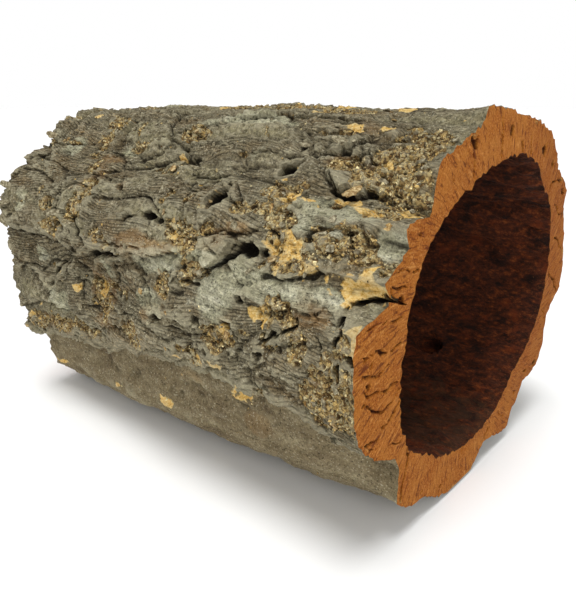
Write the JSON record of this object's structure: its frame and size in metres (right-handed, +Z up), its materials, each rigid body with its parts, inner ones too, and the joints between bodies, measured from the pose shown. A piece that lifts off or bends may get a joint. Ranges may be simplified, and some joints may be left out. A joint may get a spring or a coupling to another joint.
{
  "type": "cork bark tube",
  "caption": "Hollow tube of rough natural cork bark, sawn to length, lying on its side and open at both ends as a hide, tunnel or planter.",
  "frame": {"origin": "on the ground under the middle of the tube's bounding box, as the tube lies on its side", "axes": "+X along the tube, out of the clean sawn end; +Z up; +Y to the right seen from the sawn end"},
  "size_m": [0.252, 0.203, 0.1726],
  "materials": {
    "cork_bark": "rough weathered bark, with sawn orange cork at the ends"
  },
  "bodies": {
    "root": {"cork_bark_tube": "cork_bark"}
  },
  "joints": []
}
